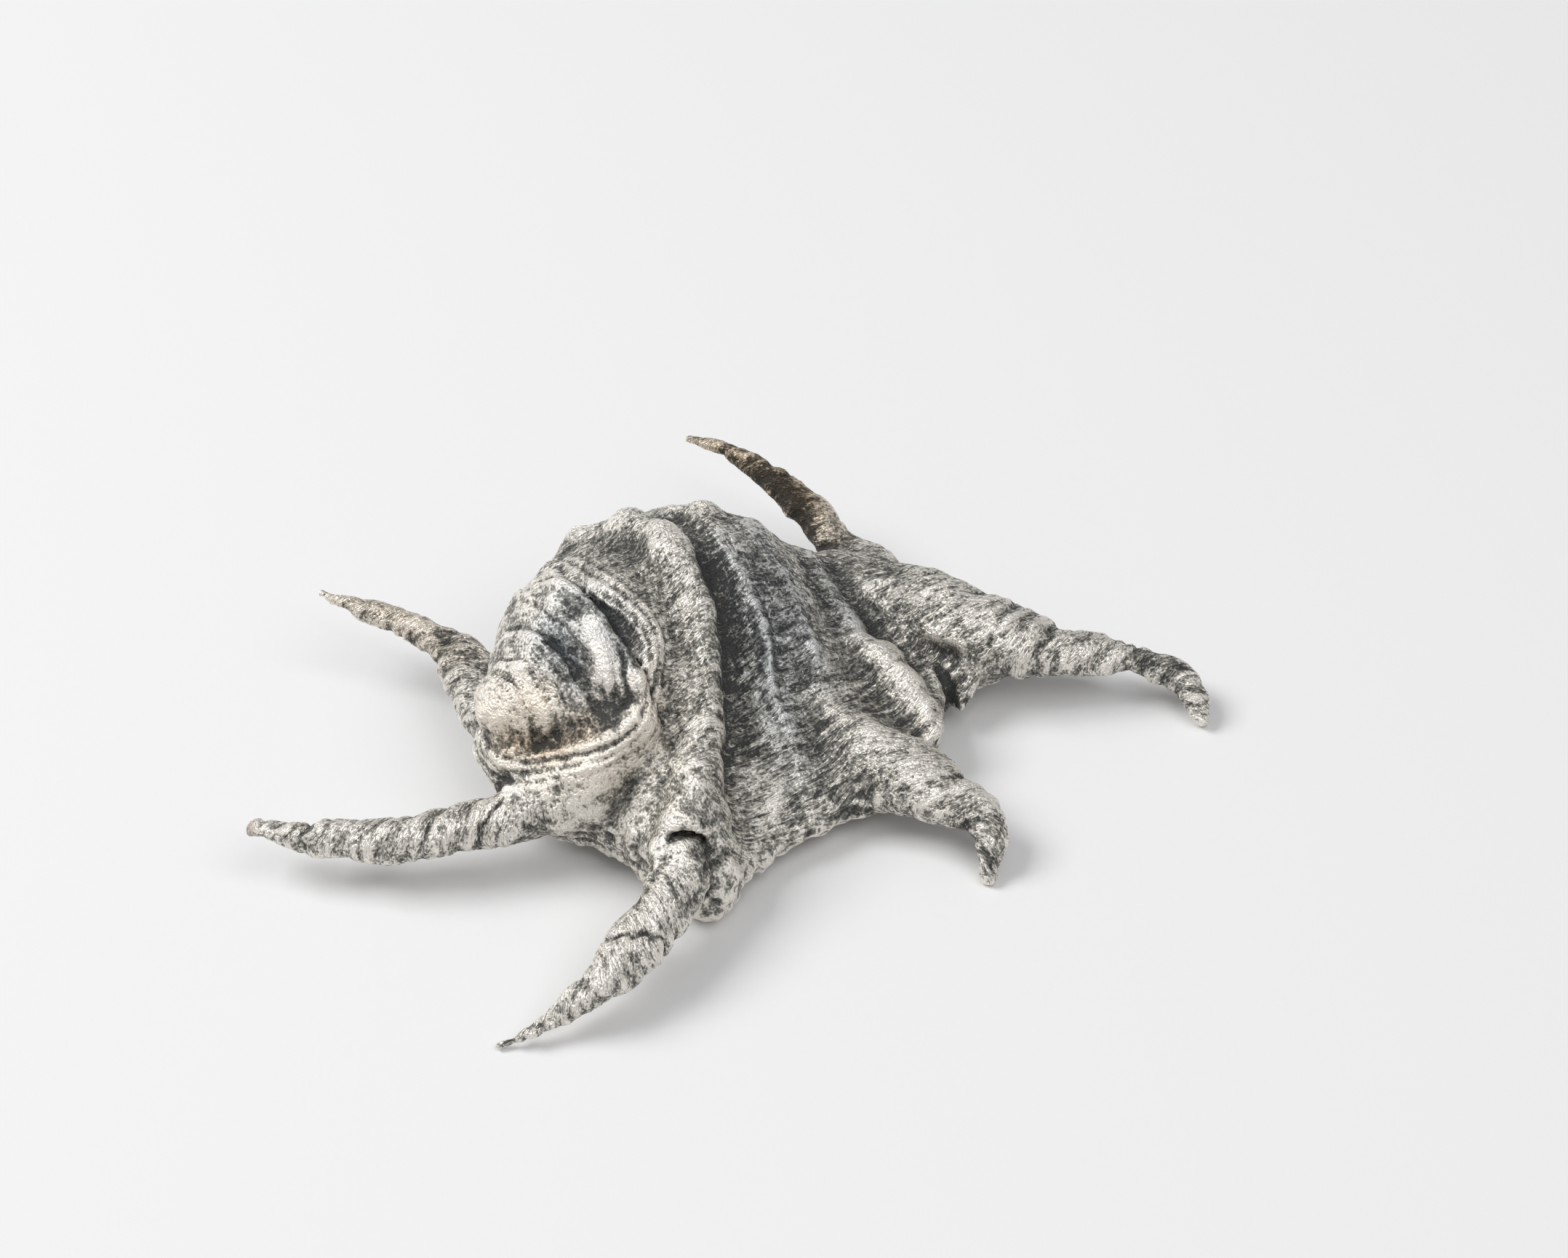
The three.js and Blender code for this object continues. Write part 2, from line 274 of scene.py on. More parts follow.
def ease(value, low, high):
    """0 below low, 1 above high, smooth between them."""
    share = np.clip((value - low) / (high - low), 0, 1)
    return share * share * (3 - 2 * share)


def smooth_union(a, b, softness):
    near = np.maximum(softness - np.abs(a - b), 0) / softness
    return np.minimum(a, b) - near * near * softness / 4


def smooth_overlap(a, b, softness):
    return -smooth_union(-a, -b, softness)


def on_curve(rows, start, t):
    """Rows on the smooth curve from row number start to the next one, at the share t between them."""
    pull = np.gradient(rows, axis=0)
    return (
        rows[start] * (2 * t**3 - 3 * t**2 + 1) + pull[start] * (t**3 - 2 * t**2 + t)
        + rows[start + 1] * (3 * t**2 - 2 * t**3) + pull[start + 1] * (t**3 - t**2)
    )


def curve_rows(rows, step=0.7):
    """Rows along one smooth curve through the given rows, about a step apart."""
    rows = np.asarray(rows, float)
    last = len(rows) - 1
    length = np.linalg.norm(np.diff(rows[:, :3], axis=0), axis=1).sum()
    place = np.linspace(0, last, int(length / step) + 2)
    start = np.minimum(place.astype(int), last - 1)
    return on_curve(rows, start, (place - start)[:, None])


# keeps the table of distances small enough for the memory
POINTS_AT_ONCE = 40000


def nearest_rows(points, rows, margin, weight=0.0):
    """For points within the margin of a curve: their indices, nearest row and distance to it.

    A row counts as nearer by its weight, such as the radius there."""
    centres = rows[:, :3]
    inside = np.all((points > centres.min(0) - margin) & (points < centres.max(0) + margin), axis=1)
    chosen = np.nonzero(inside)[0]
    nearest = np.zeros(len(chosen), int)
    distance = np.zeros(len(chosen))
    for first in range(0, len(chosen), POINTS_AT_ONCE):
        part = points[chosen[first:first + POINTS_AT_ONCE]]
        squares = (part**2).sum(1)[:, None] - 2 * part @ centres.T + (centres**2).sum(1)
        gaps = np.sqrt(np.maximum(squares, 0))
        best = (gaps - weight).argmin(1)
        nearest[first:first + len(part)] = best
        distance[first:first + len(part)] = gaps[np.arange(len(part)), best]
    return chosen, nearest, distance


# in millimetres: the distance given where none is worked out, and how far out it is worked out
FAR = 50.0
TUBE_REACH = 9.0
HOLLOW_REACH = 6.0


def tube(points, rows):
    """Distance to a tapering round bar through the rows of x, y, z, radius."""
    curve = curve_rows(rows)
    radii = curve[:, 3]
    chosen, nearest, distance = nearest_rows(points, curve, radii.max() + TUBE_REACH, radii)
    field = np.full(len(points), FAR)
    field[chosen] = distance - radii[nearest]
    return field


def along_axis(points):
    """Distance from the apex along the axis, distance off it, and turn from the top to the lip."""
    offset = points - APEX
    up = offset @ AXIS_UP
    side = offset @ AXIS_SIDE
    return offset @ AXIS, np.hypot(up, side), np.arctan2(side, up)


def whorl_place(place, turn):
    """Whole number: which whorl. Fraction: where between its two sutures."""
    return np.log(np.maximum(place, 1.5) / LAST_SUTURE) / math.log(WHORL_GROWTH) - turn / math.tau


def body_field(points):
    place, radius, turn = along_axis(points)
    whorl = whorl_place(place, turn)
    part = whorl - np.floor(whorl)
    section = np.interp(part, WHORL_SECTION[:, 0], WHORL_SECTION[:, 1])
    ring = np.exp(-((part - WHORL_KNOB_PLACE) / WHORL_KNOB_WIDTH) ** 2) * ease(place, 8, 14)
    knobs = WHORL_KNOB_HEIGHT * np.cos(WHORL_KNOBS / 2 * turn + 1.2 * np.floor(whorl)) ** 4 * ring
    below = np.maximum(0, -np.cos(turn))
    lip_side = np.maximum(0, np.sin(turn)) * ease(place, 20, 50)
    skin = np.interp(place, BODY_PROFILE[:, 0], BODY_PROFILE[:, 1])
    skin = skin * np.where(whorl < 0, section + knobs, 1)
    skin = skin * (1 - VENTRAL_FLATTENING * below - LIP_SIDE_FLATTENING * lip_side)
    return (radius - skin) * BODY_SLOPE


class LipMap:
    """Where each point over the table lies on the lip: its place along it and its share across."""

    cell = 0.8
    low = np.array([-125.0, -95.0])
    size = (320, 250)

    def __init__(self):
        self.places = np.linspace(-0.25, 1.25, 1800)
        self.rows = self.stations(self.places * (len(LIP_STATIONS) - 1))
        across = np.linspace(-0.6, 1.7, 900)
        reach = self.rows[:, 3:5] - self.rows[:, 0:2]
        spots = self.rows[:, None, 0:2] + reach[:, None] * across[None, :, None]
        cells = np.round((spots - self.low) / self.cell).astype(int)
        inside = np.all((cells >= 0) & (cells < self.size), axis=2)
        keys = (cells[..., 0] * self.size[1] + cells[..., 1])[inside]
        count = np.bincount(keys, minlength=self.size[0] * self.size[1])
        places, shares = np.broadcast_arrays(self.places[:, None], across[None, :])
        self.known = (count > 0).astype(float).reshape(self.size)
        self.place_map = self.averaged(keys, places[inside], count)
        self.share_map = self.averaged(keys, shares[inside], count)

    def averaged(self, keys, values, count):
        total = np.bincount(keys, values, minlength=len(count)) / np.maximum(count, 1)
        return total.reshape(self.size)

    @staticmethod
    def stations(index):
        """Rows of LIP_STATIONS between and beyond the given ones, on smooth curves."""
        start = np.clip(index.astype(int), 0, len(LIP_STATIONS) - 2)
        beyond = (index - start)[:, None]
        rows = on_curve(LIP_STATIONS, start, np.clip(beyond, 0, 1))
        pull = np.gradient(LIP_STATIONS, axis=0)
        return rows + pull[start] * np.minimum(beyond, 0) + pull[start + 1] * np.maximum(beyond - 1, 0)

    def read(self, table, points):
        spot = np.clip((points[:, :2] - self.low) / self.cell, 0, np.array(self.size) - 1.001)
        i, j = spot.astype(int).T
        fx, fy = (spot - spot.astype(int)).T
        return (
            (table[i, j] * (1 - fx) + table[i + 1, j] * fx) * (1 - fy)
            + (table[i, j + 1] * (1 - fx) + table[i + 1, j + 1] * fx) * fy
        )

    def where(self, points):
        """Place along the lip (0 to 1), share across it (0 at the crest, 1 at the edge), width."""
        known = self.read(self.known, points) > 0.999
        place = np.where(known, self.read(self.place_map, points), -1)
        share = np.where(known, self.read(self.share_map, points), 3)
        widths = np.hypot(*(self.rows[:, 3:5] - self.rows[:, 0:2]).T)
        return place, share, np.interp(place, self.places, widths)

    def field(self, points):
        place, share, width = self.where(points)
        crest = np.interp(place, self.places, self.rows[:, 2])
        rim = np.interp(place, self.places, self.rows[:, 5])
        inner = np.clip(share, 0, 1)
        fall = (inner + inner * inner * (3 - 2 * inner)) / 2
        slope = (crest - rim) * (1 + 6 * inner * (1 - inner)) / 2 / width
        top = crest + (rim - crest) * fall
        slab = smooth_overlap(
            (points[:, 2] - top) / np.sqrt(1 + slope**2), LIP_UNDERSIDE - points[:, 2], 3
        )
        ends = np.maximum(-place, place - 1) * 100
        outline = np.maximum((share - 1) * width, np.maximum(-share * width, ends))
        return smooth_overlap(slab, outline, 5)


LIP = LipMap()


# how far a stroke reaches, in its own widths, as form and as colour
FORM_REACH = 2.4
COLOUR_REACH = 2.2


def stroke_total(points, strokes, reach):
    """Sum of strokes of x, y, z, width, amount: each amount fades over its width."""
    total = np.zeros(len(points))
    for rows in strokes.values():
        curve = curve_rows(rows, 1.0)
        widths = np.maximum(curve[:, 3], 0.8)
        chosen, nearest, distance = nearest_rows(points, curve, widths.max() * reach)
        total[chosen] += curve[nearest, 4] * np.exp(-(distance / widths[nearest]) ** 2)
    return total


def strokes_height(points):
    """Height added by the ridges, grooves and knobs of the back."""
    height = stroke_total(points, STROKES, FORM_REACH)
    for x, y, z, width, high in KNOBS:
        height += high * np.exp(-((points - (x, y, z)) ** 2).sum(1) / width**2)
    return height


def hollow_field(points, rows):
    """Distance to an upright oval slot through the rows of x, y, z, half width, half height."""
    curve = curve_rows(rows)
    chosen, nearest, _ = nearest_rows(points, curve, curve[:, 3:].max() + HOLLOW_REACH)
    offset = points[chosen] - curve[nearest, :3]
    level = np.hypot(offset[:, 0], offset[:, 1])
    wide, high = curve[nearest, 3], curve[nearest, 4]
    oval = np.sqrt((level / wide) ** 2 + (offset[:, 2] / high) ** 2)
    field = np.full(len(points), FAR)
    field[chosen] = (oval - 1) * wide
    return field


# how softly the lip runs into the whorl
LIP_BLEND = 8


def with_tubes(field, points, tubes):
    """The field with tubes blended in, each given by its rows and how softly it runs in."""
    for rows, softness in tubes:
        field = smooth_union(field, tube(points, rows), softness)
    return field


def trunk_field(points):
    """The shell without its fingers and without the work on its back."""
    field = smooth_union(body_field(points), LIP.field(points), LIP_BLEND)
    thickened = ((SPIRE_LEDGE, 5), (POSTERIOR_PLATE, 5), (NEAR_LOBE, 7), (KEEL_CORE, 5))
    return with_tubes(field, points, thickened)


def with_near_finger(field, points):
    """The field with the near finger, which comes out of a dark gap under a hood."""
    near = tube(points, FINGERS["near"])
    ahead, high = -points[:, 1], points[:, 2]
    aside = np.abs(points[:, 0] - HOOD_MIDDLE) - HOOD_HALF_WIDTH
    beyond_rim = np.maximum(near - HOOD_HEIGHT, HOOD_RIM - ahead)
    beyond_rim = np.maximum(np.maximum(beyond_rim, HOOD_FOOT - high), aside)
    field = smooth_overlap(field, -beyond_rim, 1.5)
    depth = ease(ahead, HOOD_RIM - 11, HOOD_RIM - 4) * ease(high, HOOD_FOOT - 2, HOOD_FOOT + 2)
    mouth = HOOD_GAP * depth * ease(-aside, 0, 2)
    field = smooth_overlap(field, mouth - near, 0.6)
    return smooth_union(field, near, 0.8)


def shell_field(points):
    grown = [(FINGERS[name], softness) for name, softness in FINGER_BLENDS.items()]
    grown += [(LIP_LOBE, 3), (NOTCH_FLAP, 2)]
    field = with_tubes(trunk_field(points), points, grown) - strokes_height(points)
    field = smooth_overlap(field, -tube(points, NOTCH), 0.8)
    field = with_near_finger(field, points)
    field = smooth_overlap(field, -hollow_field(points, APERTURE), 1.5)
    return smooth_overlap(field, -points[:, 2], 1)


# ---- From the field to a mesh ----
FIELD_MARGIN = 3.0
COARSE_CELLS = 4
SKIN_BAND = 4.5


def stretched(values, axis, times):
    """A grid drawn out along one axis, with straight lines between its old samples."""
    place = np.arange((values.shape[axis] - 1) * times + 1) / times
    start = np.minimum(place.astype(int), values.shape[axis] - 2)
    shape = [1, 1, 1]
    shape[axis] = -1
    share = (place - start).reshape(shape)
    return np.take(values, start, axis) * (1 - share) + np.take(values, start + 1, axis) * share


def field_grid(cell):
    """The field on a grid over the CAD box: exact near the skin, drawn out from coarse elsewhere."""
    low, high = (np.array(corner) / MM - FIELD_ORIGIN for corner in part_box("shell"))
    low = low - FIELD_MARGIN
    high = high + FIELD_MARGIN * 2
    coarse = cell * COARSE_CELLS
    counts = np.ceil((high - low) / coarse).astype(int) + 1
    spots = np.indices(counts).reshape(3, -1).T
    values = shell_field(low + spots * coarse).reshape(counts)
    for axis in range(3):
        values = stretched(values, axis, COARSE_CELLS)
    near_skin = np.abs(values) < SKIN_BAND
    values[near_skin] = shell_field(low + np.argwhere(near_skin) * cell)
    return values, low


def skin_quads(values, low, cell):
    """One vertex in each grid cell that the skin crosses, and a quad round each crossed edge."""
    inside = values < 0
    size = np.array(values.shape) - 1
    corners = np.indices((2, 2, 2)).reshape(3, -1).T
    count = np.zeros(size, np.int8)
    for i, j, k in corners:
        count += inside[i:i + size[0], j:j + size[1], k:k + size[2]]
    crossed = (count > 0) & (count < 8)
    cells = np.argwhere(crossed)
    number = np.full(size, -1)
    number[crossed] = np.arange(len(cells))
    total = np.zeros((len(cells), 3))
    crossings = np.zeros(len(cells))
    for corner in corners:
        for axis in np.nonzero(corner == 0)[0]:
            step = np.eye(3, dtype=int)[axis]
            a = values[tuple((cells + corner).T)]
            b = values[tuple((cells + corner + step).T)]
            crosses = (a < 0) != (b < 0)
            share = a / np.where(crosses, a - b, 1)
            total[crosses] += (corner + np.outer(share, step))[crosses]
            crossings += crosses
    vertices = low + (cells + total / crossings[:, None]) * cell
    quads = []
    for axis in range(3):
        first, second = (axis + 1) % 3, (axis + 2) % 3
        ahead = np.eye(3, dtype=int)[axis]
        edges = np.argwhere(np.diff(inside, axis=axis))
        edges = edges[(edges[:, first] > 0) & (edges[:, second] > 0)]
        edges = edges[(edges[:, first] < size[first]) & (edges[:, second] < size[second])]
        ring = []
        for back_first, back_second in ((1, 1), (0, 1), (0, 0), (1, 0)):
            spot = edges.copy()
            spot[:, first] -= back_first
            spot[:, second] -= back_second
            ring.append(number[tuple(spot.T)])
        ring = np.stack(ring, 1)
        leaving = inside[tuple(edges.T)]
        quads.append(np.where(leaving[:, None], ring, ring[:, ::-1]))
    return vertices, np.concatenate(quads)


def unit(vectors):
    return vectors / np.maximum(np.linalg.norm(vectors, axis=-1, keepdims=True), 1e-9)


def skin_normals(vertices, quads):
    diagonals = vertices[quads[:, 2:]] - vertices[quads[:, :2]]
    facing = np.cross(diagonals[:, 0], diagonals[:, 1])
    total = np.zeros_like(vertices)
    for corner in range(4):
        for axis in range(3):
            total[:, axis] += np.bincount(quads[:, corner], facing[:, axis], len(vertices))
    return unit(total)


def smoothed(values, quads, rounds):
    """Each vertex takes the mean of itself and its neighbours, the given number of times."""
    starts = quads.ravel()
    ends = np.roll(quads, 1, axis=1).ravel()
    count = np.bincount(starts, minlength=len(values)) + np.bincount(ends, minlength=len(values))
    values = values.copy()
    for _ in range(rounds):
        for axis in range(values.shape[1]):
            column = values[:, axis]
            total = np.bincount(starts, column[ends], len(values))
            total += np.bincount(ends, column[starts], len(values))
            values[:, axis] = (column + total) / (1 + count)
    return values


def relief(vertices, normals, quads, rounds):
    """How far each vertex stands proud of its smoothed surroundings, in millimetres."""
    return ((vertices - smoothed(vertices, quads, rounds)) * normals).sum(1)


# ---- Growth: where each vertex lies on the back, the spire and the fingers ----
NOISE_SEED = 7
NOISE_SIZE = 32
NOISE_TABLE = np.random.default_rng(NOISE_SEED).random((NOISE_SIZE,) * 3) * 2 - 1
# in millimetres: the lip's length, and how far on from the last finger's each finger's places start
LIP_LENGTH = 115.0
FINGER_SPACING = 200.0
# how far a wrinkle moves along a finger for each millimetre across it
FINGER_SLANT = 0.7


def lumps(points):
    """Smooth noise from -1 to 1 with one lump per unit of the points' own scale."""
    cell = np.floor(points).astype(int)
    share = points - cell
    share = share * share * (3 - 2 * share)
    total = 0
    for corner in np.indices((2, 2, 2)).reshape(3, -1).T:
        weight = np.where(corner == 1, share, 1 - share).prod(1)
        total = total + NOISE_TABLE[tuple(((cell + corner) % NOISE_SIZE).T)] * weight
    return total


def finger_flow(points):
    """Millimetres along the nearest finger and to its two sides, and the distance to its skin."""
    skin = np.full(len(points), FAR)
    flow = np.zeros((len(points), 3))
    for number, rows in enumerate(FINGERS.values()):
        curve = curve_rows(rows)
        chosen, nearest, distance = nearest_rows(
            points, curve, curve[:, 3].max() + TUBE_REACH, curve[:, 3]
        )
        gap = distance - curve[nearest, 3]
        closer = gap < skin[chosen]
        chosen, nearest = chosen[closer], nearest[closer]
        skin[chosen] = gap[closer]
        ahead = unit(np.gradient(curve[:, :3], axis=0))
        beside = unit(np.cross(ahead, (0.0, 0.0, 1.0)))
        above = np.cross(beside, ahead)
        steps = np.linalg.norm(np.diff(curve[:, :3], axis=0), axis=1)
        run = np.concatenate([[0], np.cumsum(steps)]) + FINGER_SPACING * number
        offset = points[chosen] - curve[nearest, :3]
        for axis, direction in enumerate((ahead, beside, above)):
            flow[chosen, axis] = (offset * direction[nearest]).sum(1)
        flow[chosen, 0] += run[nearest]
    return flow, skin


class Growth:
    """Everything about a vertex that the shell's growth decides."""

    def __init__(self, points):
        self.points = points
        place, share, width = LIP.where(points)
        off_map = share > 1.6
        share = np.where(off_map, 0, share)
        self.back = np.stack([place * LIP_LENGTH, share * width, points[:, 2]], 1)
        self.back[off_map] = points[off_map]
        self.share = share
        self.place = place
        along, off, turn = along_axis(points)
        self.whorl = whorl_place(along, turn)
        self.spire = np.stack([along, off * turn, off], 1)
        self.finger, finger_skin = finger_flow(points)
        along_slant = self.finger[:, 0] + FINGER_SLANT * self.finger[:, 1]
        self.slanted = np.stack([along_slant, self.finger[:, 1], self.finger[:, 2]], 1)
        trunk = trunk_field(points)
        self.finger_share = ease(trunk, 0.3, 6.5) * ease(4 - finger_skin, 0, 3)
        on_lip = ease(LIP.field(points), 5.0, 0.5)
        self.spire_share = ease(-self.whorl, -0.1, 0.15) * (1 - self.finger_share) * (1 - on_lip * 0.5)


# cracks and steps round the fingers: place along, width, depth, slant, drop in radius beyond
SCARS = {
    "posterior": [(30, 1.0, 0.5, 0.3, 0.2), (52, 1.2, 0.6, -0.2, 0.1)],
    "left": [
        (36, 0.9, 0.6, 1.2, -0.2), (52, 1.2, 0.8, 0.9, 0.2), (66, 1.2, 0.5, 1.0, 0),
        (84, 0.9, 0.9, 0.2, 0.3), (94.5, 0.8, 0.6, 0, -0.4), (97, 0.8, 0.2, 0, 0.9),
    ],
    "near": [(22, 1.5, 0.4, 0.5, 0), (39.5, 1.0, 1.1, -0.6, 0.2), (54, 0.9, 0.9, 0, 0.5)],
    "right": [(30, 1.2, 0.9, 0.6, 0.2), (42.5, 0.9, 0.6, 0.3, 0.4), (51, 0.8, 0.4, 0, 0.5)],
    "front": [
        (46, 1.2, 0.5, 0.2, -0.2), (58.5, 1.4, 1.2, 0.4, 0.6), (62, 0.8, 0.5, 0.2, 0),
        (80, 1.0, 0.4, 0.3, 0.1), (100, 1.2, 0.4, 0, 0.2),
    ],
    "canal": [(24, 1.2, 0.6, 0.2, 0.3), (45, 1.0, 0.5, 0, 0.1)],
}


def scar_height(flow):
    height = np.zeros(len(flow))
    ragged = lumps(flow / 3.0) * 1.6
    for number, scars in enumerate(SCARS[name] for name in FINGERS):
        run = flow[:, 0] - FINGER_SPACING * number
        here = np.abs(run - FINGER_SPACING / 4) < FINGER_SPACING / 2
        for place, width, depth, slant, drop in scars:
            gap = (run - place + slant * flow[:, 1] + ragged)[here]
            height[here] -= depth * np.exp(-(gap / width) ** 2) + drop * ease(gap, 0, 1.5)
    return height


# heights of the fine relief, in millimetres
CORD_HEIGHT = 0.06
LINE_HEIGHT = 0.2
EDGE_LINE_HEIGHT = 0.4
SCALE_HEIGHT = 0.2
RAGGED_EDGE_HEIGHT = 0.8
WRINKLE_HEIGHT = 0.5
FOLD_HEIGHT = 0.6
SWELL_HEIGHT = 0.9
SPIRE_FOLD_HEIGHT = 0.22
COIL_HEIGHT = 0.08
COARSE_GRAIN_HEIGHT = 0.3
FINE_GRAIN_HEIGHT = 0.25
LUMP_HEIGHT = 0.6
LEDGE_LINE_HEIGHT = 0.32
LEDGE_LINE_SPACING = 2.5
LEDGE_LINES_REACH = 12.0


def fine_height(growth, cord_spacing, wrinkle_size):
    """Cords, growth lines, wrinkles and lumps too fine for the field, in millimetres."""
    points, back, finger = growth.points, growth.back, growth.finger
    drift = lumps(points / 11.0)
    on_back = (1 - growth.finger_share) * (1 - growth.spire_share)
    to_edge = ease(growth.share, 0.15, 0.9)
    cords = np.cos(math.tau * (back[:, 0] + 1.6 * drift) / cord_spacing)
    lines = lumps(back / (wrinkle_size * 2.6, wrinkle_size, 40.0) + 0.4 * drift[:, None])
    scales = lumps(back / (wrinkle_size * 1.2, wrinkle_size * 0.8, 9.0) + 9.1)
    lines *= LINE_HEIGHT + EDGE_LINE_HEIGHT * to_edge
    height = on_back * (CORD_HEIGHT * cords * (1.2 - to_edge) + lines + SCALE_HEIGHT * scales)
    edge = ease(growth.share, 0.86, 1.0) * (1 - growth.finger_share) * ease(0.9 - growth.place, 0, 0.1)
    height += edge * RAGGED_EDGE_HEIGHT * lumps(points / (2.6, 2.6, 1.7))
    bent = growth.slanted + drift[:, None]
    wrinkles = lumps(bent / (wrinkle_size, wrinkle_size * 2.4, wrinkle_size * 2.4))
    folds = lumps(bent / (3.2, 7.0, 7.0) + 1.9)
    swells = lumps(finger / (9.0, 6.0, 6.0) + 3.3)
    worked = WRINKLE_HEIGHT * wrinkles + FOLD_HEIGHT * folds + SWELL_HEIGHT * swells
    height += growth.finger_share * (worked + scar_height(finger))
    folds = lumps(growth.spire / (7.0, 3.0, 50.0))
    coils = np.cos(math.tau * 6 * growth.whorl)
    grain = COARSE_GRAIN_HEIGHT * lumps(points / 3.1) + FINE_GRAIN_HEIGHT * lumps(points / 1.8 + 2.2)
    height += growth.spire_share * (SPIRE_FOLD_HEIGHT * folds + COIL_HEIGHT * coils + grain)
    height += LUMP_HEIGHT * lumps(points / 6.5 + 5.7)
    # lines that run along the ledge, on the lip's side of the last suture
    suture = curve_rows(STROKES["suture"], 1.0)
    chosen, nearest, distance = nearest_rows(points, suture, LEDGE_LINES_REACH)
    outside = (growth.whorl[chosen] > 0) | (points[chosen, 2] < suture[nearest, 2] - 0.3)
    beyond = outside * ease(LEDGE_LINES_REACH - distance, 0, 5) * ease(distance, 1.0, 2.5)
    ledge_lines = np.cos(math.tau * distance / LEDGE_LINE_SPACING)
    height[chosen] += LEDGE_LINE_HEIGHT * beyond * ledge_lines
    # nothing is added where the shell touches the table
    return height * ease(points[:, 2], 0.2, 2.5)


# tarnish left dark (below zero) and places rubbed bright, with painted shade on some faces turned from the
# light and painted light on the ramp: x, y, z, width, amount
PATINA_AND_PAINTED_SHADING = {
    # painted shade: the valley is darkened where the keel's steep right wall is in shade, on top of the
    # tarnish in its hollow
    "valley": [
        (-9, 26, 57, 5, -0.7), (-4, 15, 53, 7, -1.1), (-2, 5, 44, 7, -1.0), (-1, -6, 34, 7, -0.7),
        (-1, -18, 27, 6, -0.4),
    ],
    # painted shade: mostly darkens the middle of the back as a face turned away from the light
    "middle": [
        (2, 34, 51, 11, -0.2), (9, 20, 44, 12, -0.2), (8, 8, 38, 11, -0.05), (7, -3, 30, 9, 0.2),
    ],
    # painted shade: mostly darkens the right of the middle of the back, turned away from the light
    "middle_right": [(17, 46, 35, 9, -0.2), (19, 31, 34, 10, -0.1), (20, 17, 31, 8, 0.1)],
    "whorl_top": [(-42, 8, 55, 3, -0.7), (-35, 4, 57.5, 3.5, -1.1), (-28, -1, 55.5, 3.5, -1.1),
                  (-26, -8, 51, 3, -0.8)],
    "whorl_suture": [(-47, -1, 50, 3, -0.7), (-43, -7, 49.5, 3, -1.1), (-40, -12, 47, 3, -0.8)],
    "whorl_foot": [(-36, -17, 41, 3, -0.5), (-31, -16, 42, 3.5, -0.9), (-27, -14, 44, 3, -0.8)],
    # painted shadow: dark under the hood's rim, where it overhangs the near finger
    "hood": [(-15, -41, 26, 3, -0.8), (-10, -41, 26, 3.5, -0.8), (-8, -50, 19, 5, -0.3)],
    "keel_end": [(-8, -22, 33, 3.5, -0.4), (-10, -30, 31, 4, -0.6), (-12, -36, 29, 4, -0.6)],
    "notch": [(57.5, 25, 12, 3, -1.2), (56, 21, 10, 3.5, -1.8), (54.5, 17, 6, 4, -1.8)],
    # painted shade: dark along the canal finger's shaded underside
    "canal_side": [(-6, 88, 31, 3.5, -0.6), (2, 84, 28, 4.5, -1.2), (10, 79, 26, 5, -1.7),
                   (15, 73, 21, 5, -1.7), (19, 68, 16, 4.5, -1.2)],
    "canal_root": [(27, 51, 28, 6, -0.3), (36, 47, 29, 6, -0.3)],
    "edge": [(9, -30, 11, 4, -0.3), (19, -26, 11, 4, -0.3), (30, -20, 12, 5, -0.3)],
    "right_tip": [(62, -25, 12, 5, -0.35), (61, -31, 8, 4, -0.4)],
    "front_tip": [(103, 30, 14, 5, -0.3), (112, 29, 10, 6, -0.45), (118, 22, 5, 5, -0.4)],
    "posterior_side": [(-68, 20, 17, 5, -0.3), (-80, 34, 16, 4, -0.35), (-92, 38, 18, 4, -0.2)],
    "apex": [(-60, -11, 37, 5, 0.5), (-53, -12, 38, 5, 0.6), (-49, -8, 42, 4, 0.5)],
    "whorl_ridge": [(-36, -1, 56, 3, 0.8), (-33, -5, 54, 3.5, 1.1), (-31, -11, 50, 3.5, 1)],
    "whorl_knob": [(-54, -4, 46, 3.5, 0.5), (-50, -9, 44, 4, 0.5), (-46, -14, 40, 4, 0.3)],
    # painted light: brightens the ramp's face turned to the light
    "ramp": [(-56, -26, 24, 5, 0.5), (-43, -28, 30, 6, 0.5), (-32, -27, 33, 6, 0.5),
             (-23, -22, 33, 7, 0.6)],
    "ramp_root": [(-38, -32, 21, 6, 0.35), (-26, -31, 22, 8, 0.4), (-20, -33, 24, 6, 0.3)],
    "keel": [(-18, 13, 56, 4, 0.3), (-15, 2, 48, 6, 0.35), (-15, -9, 40, 6, 0.45), (-17, -20, 35, 5, 0.4)],
    "right_rib": [(31, -5, 26, 7, 0.3), (42, -12, 24, 8, 0.5), (50, -18, 21, 7, 0.4)],
    "lobe": [(27, 32, 30, 4, 0.2), (36, 22, 26, 6, 0.45), (46, 13, 18, 6, 0.5)],
    "front_rib": [(40, 44, 30, 7, 0.2), (52, 33, 27, 8, 0.35), (66, 28, 25, 7, 0.35), (85, 28, 21, 6, 0.25)],
    "plateau": [(2, -23, 19, 7, 0.4), (6, -22, 17, 9, 0.4), (5, -29, 12, 7, 0.3), (0, -38, 12, 6, 0.3)],
    "near": [(-14, -46, 24, 4, 0.3), (-20, -60, 21, 5, 0.3), (-30, -73, 17, 5, 0.3)],
}
